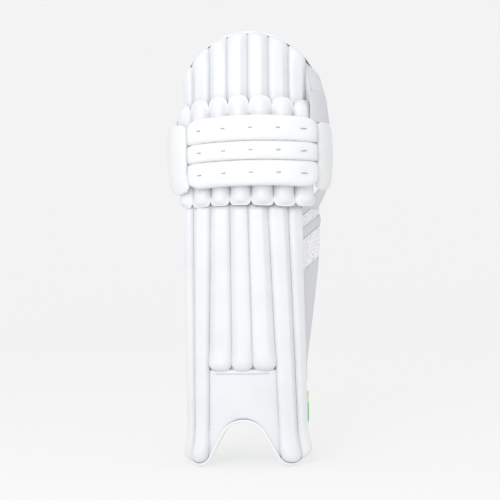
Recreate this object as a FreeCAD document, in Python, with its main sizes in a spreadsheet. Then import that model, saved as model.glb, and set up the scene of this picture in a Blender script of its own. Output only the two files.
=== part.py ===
"""Cricket batting leg pad for a left leg, with its straps closed.

+Z is up, +X is the outer (lateral) side of the leg and -Y is the front. The origin is on the
axis of the leg, level with the lowest point of the pad. The pad is three sections, shin, knee
and top, each of layers that follow one rounded plan curve: lining, board, sponge, foam rolls
with canes in them, and a sewn face cover over the rolls. All sizes are in millimetres.
"""

import FreeCAD, Part
import math
import os

import Sketcher

V = FreeCAD.Vector
PARTS = "parts"
TOOL_LENGTH = 500

SIZES = {
    # plan curves: a wide front arc that runs into a tighter arc at each side
    "shin_front_radius": 190,
    "shin_front_half_angle": 20,
    "shin_medial_radius": 34,
    "shin_lateral_radius": 46,
    "shin_edge_angle": 76,
    "knee_offset_x": 14,
    "knee_front_radius": 200,
    "knee_front_half_angle": 22,
    "knee_medial_radius": 46,
    "knee_lateral_radius": 50,
    "knee_edge_angle": 80,
    "front_depth": 75,
    # heights
    "ground": 0,
    "shin_top": 440,
    "shin_face_top": 429.6,
    "instep_roll_z": 160.5,
    "instep_roll_height": 269.1,
    "knee_bottom": 443.5,
    "knee_height": 144,
    "knee_cover_bottom": 431,
    "knee_cover_height": 183,
    "top_bottom": 592,
    "top_height": 136,
    "flex_depth": 60,
    "top_flex_height": 589,
    "top_lean": 8,
    "flex_wedge": 15,
    # layers, measured outward from the plan curve
    "lining_inner": -26,
    "lining_outer": -14,
    "board_inner": -13.6,
    "board_outer": -6.6,
    "sponge_inner": -6.2,
    "sponge_outer": -0.4,
    "sheet_thickness": 1.5,
    "seam_rise": 2.7,
    "roll_crown": 16,
    "roll_shoulder": 5,
    "foam_gap": 0.5,
    "foam_foot": 3.6,
    "foam_low": 0.3,
    "cane_rise": 7.2,
    "over_roll_seam": 17.6,
    "over_roll_crown": 23,
    "cane_radius": 4,
    "side_cane_z": 40,
    "side_cane_height": 386,
    "middle_cane_z": 164,
    "middle_cane_height": 262,
    "cane_clearance": 0.3,
    # bottom edge
    "foot_spread": 79,
    "foot_radius": 26,
    "arch_height": 75,
    "arch_radius": 38,
    "foot_outer_slope": 34,
    "binding_width": 5,
    "binding_gap": 0.4,
    "binding_block": 120,
    "instep_top": 157.5,
    "instep_half_width": 47,
    "instep_thickness": 9,
    # dome at the top
    "dome_centre_x": 19,
    "dome_centre_z": 599,
    "dome_radius": 127,
    # knee bolsters
    "bolster_inner": 23.6,
    "bolster_outer": 48,
    "bolster_medial_angle": 30,
    "bolster_lateral_angle": 47,
    "bolster_fillet": 9,
    "lower_bolster_z": 464,
    "lower_bolster_height": 41.6,
    "middle_bolster_z": 506,
    "middle_bolster_height": 30.6,
    "upper_bolster_z": 537,
    "upper_bolster_height": 41.5,
    "wrap_outer": 34,
    "wrap_edge_angle": 100,
    "wrap_z": 452,
    "wrap_height": 123,
    "wrap_fillet": 4,
    # soft pieces inside
    "calf_bolster_length": 270,
    "calf_bolster_z": 150,
    "cushion_thickness": 13,
    "calf_bolster_near_angle": 8,
    "calf_bolster_far_angle": 19.5,
    "ankle_pad_angle": 19,
    "knee_cup_angle": 21.5,
    "cushion_fillet": 4,
    "ankle_pad_z": 44,
    "ankle_pad_height": 84,
    "knee_cup_height": 22,
    "knee_cup_lower_z": 476,
    "knee_cup_upper_z": 548,
    # wings
    "wing_z": 134,
    "wing_height": 300,
    "outer_flap_x": 98.6,
    "outer_flap_z": 50,
    "outer_flap_height": 70,
    "wing_root_x": 99,
    "wing_root_y": -30,
    "wing_flare": 23,
    "wing_length": 84,
    "wing_thickness": 7,
    "wing_root_inner_x": 79,
    "edge_flap_z": 52,
    "edge_flap_height": 374,
    "knee_flap_outer_x": 140,
    "knee_flap_z": 500,
    "knee_flap_height": 84,
    "ring_to_flap": 6,
    # straps, their rings and the tabs that hold the rings
    "strap_thickness": 2.6,
    "patch_thickness": 2,
    "patch_gap": 0.4,
    "sewn_gap": 0.05,
    "fold_radius": 3.5,
    "flap_length": 96,
    "ring_bar": 3,
    "ring_length": 18,
    "ring_margin": 4.5,
    "ring_fillet": 1.4,
    "tab_thickness": 1.6,
    "tab_fold_radius": 2.7,
    "edge_flap_thickness": 3.4,
    "shin_ring_x": -92,
    "shin_ring_y": -5,
    "shin_strap_back": 64,
    "shin_strap_corner": 42,
    "shin_lateral_corner": 30,
    "knee_ring_x": -110,
    "knee_ring_y": 20,
    "knee_strap_back": 84,
    "knee_strap_corner": 46,
    "knee_lateral_corner": 46,
    "knee_strap_lateral_x": 136.6,
    "knee_strap_stop": -8,
    "strap_bend": 25,
    "sewn_stand_off": 0.3,
    "ankle_strap_z": 60,
    "ankle_strap_width": 50,
    "ankle_strap_lateral_x": 101.9,
    "ankle_strap_stop": -29,
    "calf_strap_z": 262,
    "calf_strap_width": 48,
    "calf_strap_leave": 27,
    "calf_strap_stop": -11,
    "knee_strap_z": 538,
    "knee_strap_width": 38,
}

# seams between the rolls, as arc length along the plan curve from its middle
SHIN_SEAMS = [-97, -78, -47, -14.8, 14.8, 47, 80, 109]
KNEE_SEAMS = [-117, -87, -57, -26, 7, 42, 76, 106]
MIDDLE_ROLLS = (3, 4, 5)

doc = FreeCAD.newDocument("cricket_leg_pad")
sheet = doc.addObject("Spreadsheet::Sheet", "Sizes")
for row, (alias, value) in enumerate(SIZES.items(), start=1):
    sheet.set(f"A{row}", alias)
    sheet.set(f"B{row}", str(value))
    sheet.setAlias(f"B{row}", alias)
doc.recompute()

nodes = []


def size(alias):
    """A driving dimension, read back from the spreadsheet."""
    return float(sheet.get(alias))


def keep(obj, label):
    """Marks an object as a sub-part that is exported under its label."""
    obj.Label = label
    nodes.append(obj)
    return obj


# ---------------------------------------------------------------- plan curves


class Plan:
    """A section's rounded plan curve, with points given by arc length or angle, and rise."""

    def __init__(self, section):
        self.x0 = size("knee_offset_x") if section == "knee" else 0.0
        self.front = size(f"{section}_front_radius")
        self.half = math.radians(size(f"{section}_front_half_angle"))
        self.radii = {
            -1: size(f"{section}_medial_radius"),
            1: size(f"{section}_lateral_radius"),
        }
        self.edge = size(f"{section}_edge_angle")
        self.front_centre = V(self.x0, self.front - size("front_depth"), 0)

    def side_centre(self, side):
        reach = self.front - self.radii[side]
        out = V(side * math.sin(self.half), -math.cos(self.half), 0)
        return self.front_centre + out * reach

    def at_angle(self, angle, rise):
        """The point where the curve's outward normal is angle radians from the front."""
        out = V(math.sin(angle), -math.cos(angle), 0)
        if abs(angle) <= self.half:
            return self.front_centre + out * (self.front + rise)
        side = 1 if angle > 0 else -1
        return self.side_centre(side) + out * (self.radii[side] + rise)

    def angle(self, length):
        """The normal's angle at an arc length along the curve."""
        front_length = self.front * self.half
        if abs(length) <= front_length:
            return length / self.front
        side = 1 if length > 0 else -1
        return side * (self.half + (abs(length) - front_length) / self.radii[side])

    def at(self, length, rise):
        return self.at_angle(self.angle(length), rise)

    def arc(self, start, end, rise):
        """Arcs along the curve at one rise, between two angles in radians, start to end."""
        stops = [a for a in (-self.half, self.half) if min(start, end) < a < max(start, end)]
        stops = [start] + sorted(stops, reverse=start > end) + [end]
        edges = []
        for a, b in zip(stops, stops[1:]):
            ends = [self.at_angle(t, rise) for t in (a, (a + b) / 2, b)]
            edges.append(Part.Arc(*ends))
        return edges

    def band(self, inner, outer, start, end):
        """The closed outline of a layer between two rises and two angles in degrees."""
        a, b = math.radians(start), math.radians(end)
        edges = self.arc(a, b, outer)
        edges.append(Part.LineSegment(self.at_angle(b, outer), self.at_angle(b, inner)))
        edges += self.arc(b, a, inner)
        edges.append(Part.LineSegment(self.at_angle(a, inner), self.at_angle(a, outer)))
        return edges


SHIN = Plan("shin")
KNEE = Plan("knee")


def closed(points):
    """A closed outline of straight lines."""
    return [Part.LineSegment(a, b) for a, b in zip(points, points[1:] + points[:1])]


def corrugated(plan, seams, seam_rise, crown):
    """The outline of a sewn cover: down at each seam, up over each roll."""
    thick = size("sheet_thickness")
    shoulder = size("roll_shoulder")

    def side(drop, widen):
        points = [plan.at(seams[0], seam_rise - drop)]
        for left, right in zip(seams, seams[1:]):
            for length in (left + shoulder + widen, (left + right) / 2, right - shoulder - widen):
                points.append(plan.at(length, crown - drop))
            points.append(plan.at(right, seam_rise - drop))
        return points

    return closed(side(0, 0) + side(thick, 0.6 * thick)[::-1])


def roll_section(plan, left, right, low, crown):
    """The outline of the foam in one roll, clear of the cover over it."""
    gap, foot = size("foam_gap"), size("foam_foot")
    inset = size("roll_shoulder") + size("sheet_thickness") + gap
    top = crown - size("sheet_thickness") - gap
    middle = (left + right) / 2
    outline = [(left + foot, low), (left + inset, top), (middle, top)]
    outline += [(right - inset, top), (right - foot, low), (middle, low)]
    return closed([plan.at(length, rise) for length, rise in outline])


# ---------------------------------------------------------------- features


def plane(body, role):
    return next(f for f in body.Origin.OriginFeatures if f.Role == role)


def draw(owner, name, edges, role=None, height=0.0):
    """A fixed sketch in a body, on one of its origin planes, or in the document on XY."""
    if role:
        sketch = owner.newObject("Sketcher::SketchObject", name)
        sketch.AttachmentSupport = [(plane(owner, role), "")]
        sketch.MapMode = "FlatFace"
        sketch.AttachmentOffset = FreeCAD.Placement(V(0, 0, height), FreeCAD.Rotation())
    else:
        sketch = owner.addObject("Sketcher::SketchObject", name)
    sketch.addGeometry(edges, False)
    sketch.addConstraint([Sketcher.Constraint("Block", i) for i in range(len(edges))])
    return sketch


def pad(label, edges, height, base):
    """A body: a plan outline padded by one cell's height, standing at another cell's level."""
    body = doc.addObject("PartDesign::Body", label)
    feature = body.newObject("PartDesign::Pad", f"{label}_pad")
    feature.Profile = draw(body, f"{label}_plan", edges, "XY_Plane")
    feature.setExpression("Length", f"Sizes.{height}")
    body.setExpression("Placement.Base.z", f"Sizes.{base}")
    return keep(body, label)


def pocket(body, edges, role="XZ_Plane"):
    """Cuts an outline right through a body, both ways from an origin plane."""
    doc.recompute()
    before = body.Shape.Volume
    name = f"{body.Label}_cut_{len(body.Group)}"
    feature = body.newObject("PartDesign::Pocket", name)
    feature.Profile = draw(body, f"{name}_outline", edges, role)
    feature.Type = "ThroughAll"
    feature.SideType = "Symmetric"
    doc.recompute()
    if not body.Shape.Volume < before - 1:
        raise RuntimeError(f"{name} cuts nothing")
    return feature


def soften(body, radius, wanted):
    """Rounds the edges of a body's last feature that a test picks out."""
    doc.recompute()
    base = body.Tip
    names = [f"Edge{i}" for i, e in enumerate(base.Shape.Edges, start=1) if wanted(e)]
    feature = body.newObject("PartDesign::Fillet", f"{body.Label}_fillet")
    feature.Base = (base, names)
    feature.setExpression("Radius", f"Sizes.{radius}")
    return feature


def extrusion(label, loops, height, base):
    """A group of separate solids: closed plan outlines extruded together."""
    sketch = draw(doc, f"{label}_plan", [e for loop in loops for e in loop])
    sketch.setExpression("Placement.Base.z", f"Sizes.{base}")
    solid = doc.addObject("Part::Extrusion", f"{label}_solids")
    solid.Base = sketch
    solid.DirMode = "Normal"
    solid.Solid = True
    solid.setExpression("LengthFwd", f"Sizes.{height}")
    return solid


def carve(solids, label, edges, plane_name):
    """Cuts an outline, drawn in the XZ or YZ plane, right through a group of solids."""
    sketch = draw(doc, f"{label}_region", edges)
    upright = FreeCAD.Rotation(V(1, 0, 0), 90)
    if plane_name == "YZ":
        upright = FreeCAD.Rotation(V(0, 0, 1), 90) * upright
    sketch.Placement = FreeCAD.Placement(V(0, 0, 0), upright)
    tool = doc.addObject("Part::Extrusion", f"{label}_tool")
    tool.Base = sketch
    tool.DirMode = "Normal"
    tool.Solid = True
    tool.Symmetric = True
    tool.LengthFwd = TOOL_LENGTH
    cut = doc.addObject("Part::Cut", label)
    cut.Base = solids
    cut.Tool = tool
    doc.recompute()
    if not cut.Shape.Volume < solids.Shape.Volume - 1:
        raise RuntimeError(f"{label} cuts nothing")
    return cut


def on_outer_face(edge, plan, rise):
    """True for an edge whose every point stands further out than a rise from the plan curve."""
    for share in (0.0, 0.5, 1.0):
        first, last = edge.FirstParameter, edge.LastParameter
        point = edge.valueAt(first + (last - first) * share)
        flat = V(point.x, point.y, 0)
        spoke = flat - plan.front_centre
        angle = math.atan2(spoke.x, -spoke.y)
        radius = plan.front
        if abs(angle) > plan.half:
            side = 1 if angle > 0 else -1
            spoke = flat - plan.side_centre(side)
            radius = plan.radii[side]
        if spoke.Length - radius < rise:
            return False
    return True


# ---------------------------------------------------------------- outlines in front view


def tangent_run(inside, r_inside, outside, r_outside):
    """Both ends of the straight run that joins two circles and crosses between them."""
    apart = outside - inside
    turn = math.acos((r_inside + r_outside) / apart.Length)
    heading = math.atan2(apart.y, apart.x) + turn
    out = V(math.cos(heading), math.sin(heading), 0)
    return inside + out * r_inside, outside - out * r_outside


def bottom_edge(raised, base=0.0):
    """The outline below the pad's two feet and the instep arch, moved into the pad by raised."""
    foot_r = size("foot_radius") - raised
    arch_r = size("arch_radius") + raised
    arch = V(0, size("arch_height") - size("arch_radius"), 0)
    foot = V(size("foot_spread"), size("foot_radius"), 0)
    on_arch, on_foot = tangent_run(arch, arch_r, foot, foot_r)
    slope = math.radians(size("foot_outer_slope"))
    leave = foot + V(math.sin(slope), -math.cos(slope), 0) * foot_r
    wide, deep = 190.0, -30.0
    far = V(wide, leave.y + (wide - leave.x) * math.tan(slope), 0)
    low = foot + V(0, -foot_r, 0)

    def place(p, side):
        return V(side * p.x, p.y - base, 0)

    edges = [Part.Arc(place(on_arch, -1), place(arch + V(0, arch_r, 0), 1), place(on_arch, 1))]
    for side in (1, -1):
        edges.append(Part.LineSegment(place(on_arch, side), place(on_foot, side)))
        edges.append(Part.Arc(place(on_foot, side), place(low, side), place(leave, side)))
        edges.append(Part.LineSegment(place(leave, side), place(far, side)))
        edges.append(Part.LineSegment(place(far, side), V(side * wide, deep - base, 0)))
    edges.append(Part.LineSegment(V(wide, deep - base, 0), V(-wide, deep - base, 0)))
    return edges


def above_bottom_edge(raised, top):
    """The region over the raised bottom edge, up to a level, for trimming the binding."""
    edges = bottom_edge(raised)[:-1]
    wide = 190.0
    kept = [e for e in edges if not (abs(e.StartPoint.x) == wide or e.EndPoint.y < -20)]
    far = {e.EndPoint.x > 0: e.EndPoint for e in kept if abs(e.EndPoint.x) == wide}
    kept.append(Part.LineSegment(far[True], V(wide, top, 0)))
    kept.append(Part.LineSegment(V(wide, top, 0), V(-wide, top, 0)))
    kept.append(Part.LineSegment(V(-wide, top, 0), far[False]))
    return kept


def over_dome(inset, base):
    """The region above the dome, moved into the pad by inset."""
    x, z = size("dome_centre_x"), size("dome_centre_z") - base
    r = size("dome_radius") - inset
    wide, top, low = 200.0, z + 180.0, z - 60.0
    left, right = V(x - r, z, 0), V(x + r, z, 0)
    edges = [Part.Arc(left, V(x, z + r, 0), right)]
    path = [right, V(right.x, low, 0), V(wide, low, 0), V(wide, top, 0)]
    path += [V(-wide, top, 0), V(-wide, low, 0), V(left.x, low, 0), left]
    edges += [Part.LineSegment(a, b) for a, b in zip(path, path[1:])]
    return edges


def under_dome(inset, base):
    """The region inside the dome, moved in by inset, for trimming the top binding."""
    x, z = size("dome_centre_x"), size("dome_centre_z") - base
    r = size("dome_radius") - inset
    left, right = V(x - r, z, 0), V(x + r, z, 0)
    path = [right, V(x + r, -60, 0), V(x - r, -60, 0), left]
    edges = [Part.Arc(left, V(x, z + r, 0), right)]
    return edges + [Part.LineSegment(a, b) for a, b in zip(path, path[1:])]


def under_flex_line(level, base, lift):
    """The wedge under a section, in side view, that lets it tip back without touching."""
    start, far, deep = -size("flex_depth"), 90.0, 40.0
    rise = (far - start) * math.tan(math.radians(lift))
    corner = V(start, level - base, 0)
    return closed([corner, corner + V(far - start, rise, 0), corner + V(far - start, -deep, 0),
                   corner + V(0, -deep, 0)])


# ---------------------------------------------------------------- strap paths


class Path:
    """A run of straight lines and tangent arcs, with points given by length and side offset."""

    def __init__(self):
        self.runs = []
        self.length = 0.0

    def line(self, start, end):
        along = (end - start).Length
        self.runs.append((self.length, along, start, (end - start) * (1 / along), 0.0))
        self.length += along
        return self

    def arc(self, start, heading, radius, degrees):
        """An arc that leaves start along heading and turns by degrees, plus to the left."""
        along = math.radians(abs(degrees)) * radius
        turn = math.copysign(1 / radius, degrees)
        self.runs.append((self.length, along, start, heading, turn))
        self.length += along
        return self

    @staticmethod
    def along(run, distance, offset):
        _, _, start, heading, turn = run
        left = V(-heading.y, heading.x, 0)
        if turn == 0:
            return start + heading * distance + left * offset
        a = turn * distance
        centre = start + left * (1 / turn)
        spoke = heading * math.sin(a) - left * math.cos(a)
        return centre + spoke * (1 / turn - offset)

    def edges(self, start, end, offset):
        """The geometry between two lengths along the path, set off to the left."""
        found = []
        for run in self.runs:
            first, last = max(start, run[0]), min(end, run[0] + run[1])
            if last - first < 1e-6:
                continue
            stops = (first, (first + last) / 2, last)
            points = [self.along(run, s - run[0], offset) for s in stops]
            if run[4] == 0:
                found.append(Part.LineSegment(points[0], points[2]))
            else:
                found.append(Part.Arc(*points))
        return found

    def band(self, start, end, inner, outer):
        """The closed outline of a strip along the path between two side offsets."""
        near, far = self.edges(start, end, inner), self.edges(start, end, outer)
        first, last = (near[0].StartPoint, near[-1].EndPoint), (far[0].StartPoint, far[-1].EndPoint)
        return near + far + [Part.LineSegment(first[0], last[0]), Part.LineSegment(first[1], last[1])]


def round_the_leg(name, section):
    """The path of a closed strap, from its ring round the back to the flap or wing it is sewn to.

    The last stretch runs straight forward to the strap's stop, or for the calf strap it first
    bends at its leave line and then runs forward along the wing's inner face.
    """
    x = size(f"{section}_ring_x") + size("fold_radius")
    y = size(f"{section}_ring_y") + size("ring_length") - size("ring_bar")
    back, r = size(f"{section}_strap_back"), size(f"{section}_strap_corner")
    r2 = size(f"{section}_lateral_corner")
    flare, bend = math.radians(size("wing_flare")), size("strap_bend")
    stop, setback = size(f"{name}_strap_stop"), 0.0
    if name == "calf":
        leave = size("calf_strap_leave")
        depth = size("wing_thickness") + size("sewn_stand_off") + size("strap_thickness") / 2
        face = size("wing_root_x") + (leave - size("wing_root_y")) * math.tan(flare)
        lateral, setback = face - depth / math.cos(flare), bend * math.tan(flare / 2)
        turn_y = leave + setback
    else:
        lateral, turn_y = size(f"{name}_strap_lateral_x"), stop
    path = Path()
    path.line(V(x, y, 0), V(x, back - r, 0))
    path.arc(V(x, back - r, 0), V(0, 1, 0), r, -90)
    path.line(V(x + r, back, 0), V(lateral - r2, back, 0))
    path.arc(V(lateral - r2, back, 0), V(1, 0, 0), r2, -90)
    path.line(V(lateral, back - r2, 0), V(lateral, turn_y, 0))
    if name == "calf":
        down = V(-math.sin(flare), -math.cos(flare), 0)
        path.arc(V(lateral, turn_y, 0), V(0, -1, 0), bend, -math.degrees(flare))
        start = V(lateral, leave, 0) + down * setback
        path.line(start, start + down * ((leave - stop) / math.cos(flare) - setback))
    return path


# ---------------------------------------------------------------- shin section

EDGE = size("shin_edge_angle")
TRIM = size("binding_width") + size("binding_gap")


def shin_layer(label, inner, outer, top="shin_top"):
    body = pad(label, SHIN.band(size(inner), size(outer), -EDGE, EDGE), top, "ground")
    pocket(body, bottom_edge(TRIM))
    return body


shin_layer("shin_lining", "lining_inner", "lining_outer")
shin_layer("shin_board", "board_inner", "board_outer")
shin_layer("shin_sponge", "sponge_inner", "sponge_outer", "shin_face_top")

crown, rise = size("roll_crown"), size("seam_rise")
cover = pad("shin_face_cover", corrugated(SHIN, SHIN_SEAMS, rise, crown), "shin_face_top", "ground")
pocket(cover, bottom_edge(TRIM))
window_x, window_top, below = size("instep_half_width") + 1, size("instep_top") + 1, -40
pocket(cover, closed([V(-window_x, window_top, 0), V(window_x, window_top, 0),
                      V(window_x, below, 0), V(-window_x, below, 0)]))

ROLL_LOW = size("foam_low")
CANE_RISE = size("cane_rise")


def bore(body, centre, radius):
    pocket(body, [Part.Circle(centre, V(0, 0, 1), radius)], "XY_Plane")


for number, (left, right) in enumerate(zip(SHIN_SEAMS, SHIN_SEAMS[1:]), start=1):
    outline = roll_section(SHIN, left, right, ROLL_LOW, crown)
    middle = number in MIDDLE_ROLLS
    height = "instep_roll_height" if middle else "shin_face_top"
    roll = pad(f"shin_roll_{number}", outline, height, "instep_roll_z" if middle else "ground")
    if not middle:
        pocket(roll, bottom_edge(TRIM + 0.6))
    bore(roll, SHIN.at((left + right) / 2, CANE_RISE), size("cane_radius") + size("cane_clearance"))


def canes(label, seams, wanted, height, base, plan=SHIN, rise=CANE_RISE):
    """The straight canes inside a group of rolls, as separate solids of one node."""
    loops = []
    for number, (left, right) in enumerate(zip(seams, seams[1:]), start=1):
        if wanted(number):
            centre = plan.at((left + right) / 2, rise)
            loops.append([Part.Circle(centre, V(0, 0, 1), size("cane_radius"))])
    return keep(extrusion(label, loops, height, base), label)


canes("shin_canes_side", SHIN_SEAMS, lambda n: n not in MIDDLE_ROLLS, "side_cane_height", "side_cane_z")
canes("shin_canes_middle", SHIN_SEAMS, lambda n: n in MIDDLE_ROLLS, "middle_cane_height", "middle_cane_z")

reach = math.degrees(math.asin(size("instep_half_width") / SHIN.front))
panel = pad("instep_panel", SHIN.band(0.3, size("instep_thickness"), -reach, reach), "instep_top", "ground")
pocket(panel, bottom_edge(TRIM))

shin_stack = SHIN.band(size("lining_inner"), crown, -EDGE, EDGE)
binding = pad("bottom_binding", shin_stack, "binding_block", "ground")
pocket(binding, bottom_edge(0))
pocket(binding, above_bottom_edge(size("binding_width"), 2 * size("binding_block")))

INSIDE = size("lining_inner") - 0.3
CUSHION = INSIDE - size("cushion_thickness")
near, far = size("calf_bolster_near_angle"), size("calf_bolster_far_angle")
for label, start, end in (("calf_bolster_medial", -far, -near), ("calf_bolster_lateral", near, far)):
    bolster = pad(label, SHIN.band(CUSHION, INSIDE, start, end), "calf_bolster_length", "calf_bolster_z")
    soften(bolster, "cushion_fillet", lambda e: True)
half_angle = size("ankle_pad_angle")
ankle_band = SHIN.band(CUSHION, INSIDE, -half_angle, half_angle)
ankle = pad("ankle_pad", ankle_band, "ankle_pad_height", "ankle_pad_z")
soften(ankle, "cushion_fillet", lambda e: True)


def wing_outline():
    """The outer wing in plan: a flared leaf with a root that lies against the layers' edge."""
    flare = math.radians(size("wing_flare"))
    root = V(size("wing_root_x"), size("wing_root_y"), 0)
    along = V(math.sin(flare), math.cos(flare), 0)
    inward = V(-math.cos(flare), math.sin(flare), 0) * size("wing_thickness")
    tip = root + along * size("wing_length")
    corner = root + along * 12 + inward
    inner_x = size("wing_root_inner_x")
    points = [root, tip, tip + inward, corner]
    points += [V(inner_x, corner.y - 4, 0), V(inner_x, root.y + 3, 0), V(inner_x + 9, root.y + 0.6, 0)]
    return closed(points)


# the outer wing's rear edge in side view, as (y, z) from the top down
WING_REAR = [(47, 440), (47, 372), (22, 285), (-1, 210), (-15, 165), (-15, 120)]


def wing_edge():
    """The region behind the outer wing's rear edge, in side view."""
    base, far = size("wing_z"), 120
    points = [V(y, z - base, 0) for y, z in WING_REAR]
    points += [V(far, WING_REAR[-1][1] - base, 0), V(far, WING_REAR[0][1] - base, 0)]
    return closed(points)


wing = pad("outer_wing", wing_outline(), "wing_height", "wing_z")
pocket(wing, wing_edge(), "YZ_Plane")


def edge_flap(label, leaf, root, height, base):
    """The thin leather flap on a section's edge that a ring tab or a strap is sewn to.

    leaf is (x of its middle, front y, rear y), and root, which lies against the ends of the
    layers, is (x, front y, rear y).
    """
    x, front, rear = leaf
    root_x, root_front, root_rear = root
    side = 1 if x > 0 else -1
    t = size("edge_flap_thickness") / 2
    outer, inner = x + side * t, x - side * t
    points = [V(outer, front, 0), V(outer, rear, 0), V(inner, rear, 0), V(inner, root_rear, 0)]
    points += [V(root_x, root_rear, 0), V(root_x, root_front, 0), V(inner, front + 0.6, 0)]
    return pad(label, closed(points), height, base)


shin_rear = size("shin_ring_y") - size("ring_to_flap")
edge_flap("inner_edge_flap", (size("shin_ring_x"), -40.6, shin_rear), (-75, -36.6, -30),
          "edge_flap_height", "edge_flap_z")
edge_flap("outer_edge_flap", (size("outer_flap_x"), -31, -12), (80, -27.3, -20),
          "outer_flap_height", "outer_flap_z")

# ---------------------------------------------------------------- knee section

KNEE_EDGE = size("knee_edge_angle")
LIFT = size("flex_wedge")


def clear_flex_line(body, level, lift=LIFT):
    """Cuts the wedge under a section where the body reaches back past the hinge line."""
    doc.recompute()
    if body.Shape.BoundBox.YMax > 1 - size("flex_depth"):
        pocket(body, under_flex_line(level, level, lift), "YZ_Plane")


def knee_layer(label, inner, outer):
    outline = KNEE.band(size(inner), size(outer), -KNEE_EDGE, KNEE_EDGE)
    clear_flex_line(pad(label, outline, "knee_height", "knee_bottom"), size("knee_bottom"))


knee_layer("knee_lining", "lining_inner", "lining_outer")
knee_layer("knee_board", "board_inner", "board_outer")
knee_layer("knee_sponge", "sponge_inner", "sponge_outer")
over_crown, over_seam = size("over_roll_crown"), size("over_roll_seam")
cover = pad("knee_under_cover", corrugated(KNEE, KNEE_SEAMS, over_seam, over_crown),
            "knee_cover_height", "knee_cover_bottom")
clear_flex_line(cover, size("knee_cover_bottom"))

KNEE_BOTTOM = size("knee_bottom")
loops = [roll_section(KNEE, a, b, ROLL_LOW, over_crown) for a, b in zip(KNEE_SEAMS, KNEE_SEAMS[1:])]
rolls = extrusion("knee_foam", loops, "knee_height", "knee_bottom")
wedge = under_flex_line(KNEE_BOTTOM, 0, LIFT)
keep(carve(rolls, "knee_foam_rolls", wedge, "YZ"), "knee_foam_rolls")

bolster_span = (-size("bolster_medial_angle"), size("bolster_lateral_angle"))
for name in ("lower", "middle", "upper"):
    outline = KNEE.band(size("bolster_inner"), size("bolster_outer"), *bolster_span)
    bolster = pad(f"knee_bolster_{name}", outline, f"{name}_bolster_height", f"{name}_bolster_z")
    front_rise = size("bolster_outer") - 4
    soften(bolster, "bolster_fillet", lambda e: on_outer_face(e, KNEE, front_rise))

wrap_edge = size("wrap_edge_angle")
for label, start, end in (("knee_wrap_medial", -wrap_edge, bolster_span[0] - 0.6),
                          ("knee_wrap_lateral", bolster_span[1] + 0.6, wrap_edge)):
    outline = KNEE.band(size("bolster_inner"), size("wrap_outer"), start, end)
    wrap = pad(label, outline, "wrap_height", "wrap_z")
    soften(wrap, "wrap_fillet", lambda e: on_outer_face(e, KNEE, size("wrap_outer") - 3))

for name in ("lower", "upper"):
    cup_angle = size("knee_cup_angle")
    cup_band = KNEE.band(CUSHION, INSIDE, -cup_angle, cup_angle)
    cushion = pad(f"knee_cup_{name}", cup_band, "knee_cup_height", f"knee_cup_{name}_z")
    soften(cushion, "cushion_fillet", lambda e: True)

knee_rear = size("knee_ring_y") - size("ring_to_flap")
edge_flap("knee_flap_inner", (size("knee_ring_x"), -27.6, knee_rear), (-84, -24.4, -17),
          "knee_flap_height", "knee_flap_z")
edge_flap("knee_flap_outer", (size("knee_flap_outer_x"), -25, 16), (112, -20.6, -14),
          "knee_flap_height", "knee_flap_z")

# ---------------------------------------------------------------- top section


def lean_back(body, level):
    """Tips a top-section piece back about the line where the knee section ends."""
    pivot = V(0, -size("flex_depth") - 10, size("top_flex_height"))
    turn = FreeCAD.Rotation(V(1, 0, 0), -size("top_lean"))
    if level:
        body.setExpression("Placement.Base.z", None)
    body.Placement = FreeCAD.Placement(pivot + turn.multVec(V(0, 0, level) - pivot), turn)
    return body


TOP = size("top_bottom")
TOP_LIFT = LIFT + size("top_lean")


def top_piece(label, outline, trim):
    body = pad(label, outline, "top_height", "top_bottom")
    pocket(body, over_dome(trim, TOP))
    return body


for name in ("lining", "board", "sponge"):
    outline = KNEE.band(size(f"{name}_inner"), size(f"{name}_outer"), -KNEE_EDGE, KNEE_EDGE)
    layer = top_piece(f"top_{name}", outline, TRIM)
    clear_flex_line(layer, TOP, TOP_LIFT)
    lean_back(layer, TOP)

cover = top_piece("top_cover", corrugated(KNEE, KNEE_SEAMS, rise, crown), TRIM)
clear_flex_line(cover, TOP, TOP_LIFT)
lean_back(cover, TOP)
loops = [roll_section(KNEE, a, b, ROLL_LOW, crown) for a, b in zip(KNEE_SEAMS, KNEE_SEAMS[1:])]
rolls = extrusion("top_foam", loops, "top_height", "top_bottom")
domed = carve(rolls, "top_foam_dome", over_dome(TRIM + 1, 0), "XZ")
rolls = keep(carve(domed, "top_foam_rolls", under_flex_line(TOP, 0, TOP_LIFT), "YZ"), "top_foam_rolls")
lean_back(rolls, 0)

top_stack = KNEE.band(size("lining_inner"), crown, -KNEE_EDGE, KNEE_EDGE)
binding = top_piece("top_binding", top_stack, 0)
pocket(binding, under_dome(size("binding_width"), TOP))
clear_flex_line(binding, TOP, TOP_LIFT)
lean_back(binding, TOP)

# ---------------------------------------------------------------- straps


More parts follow.
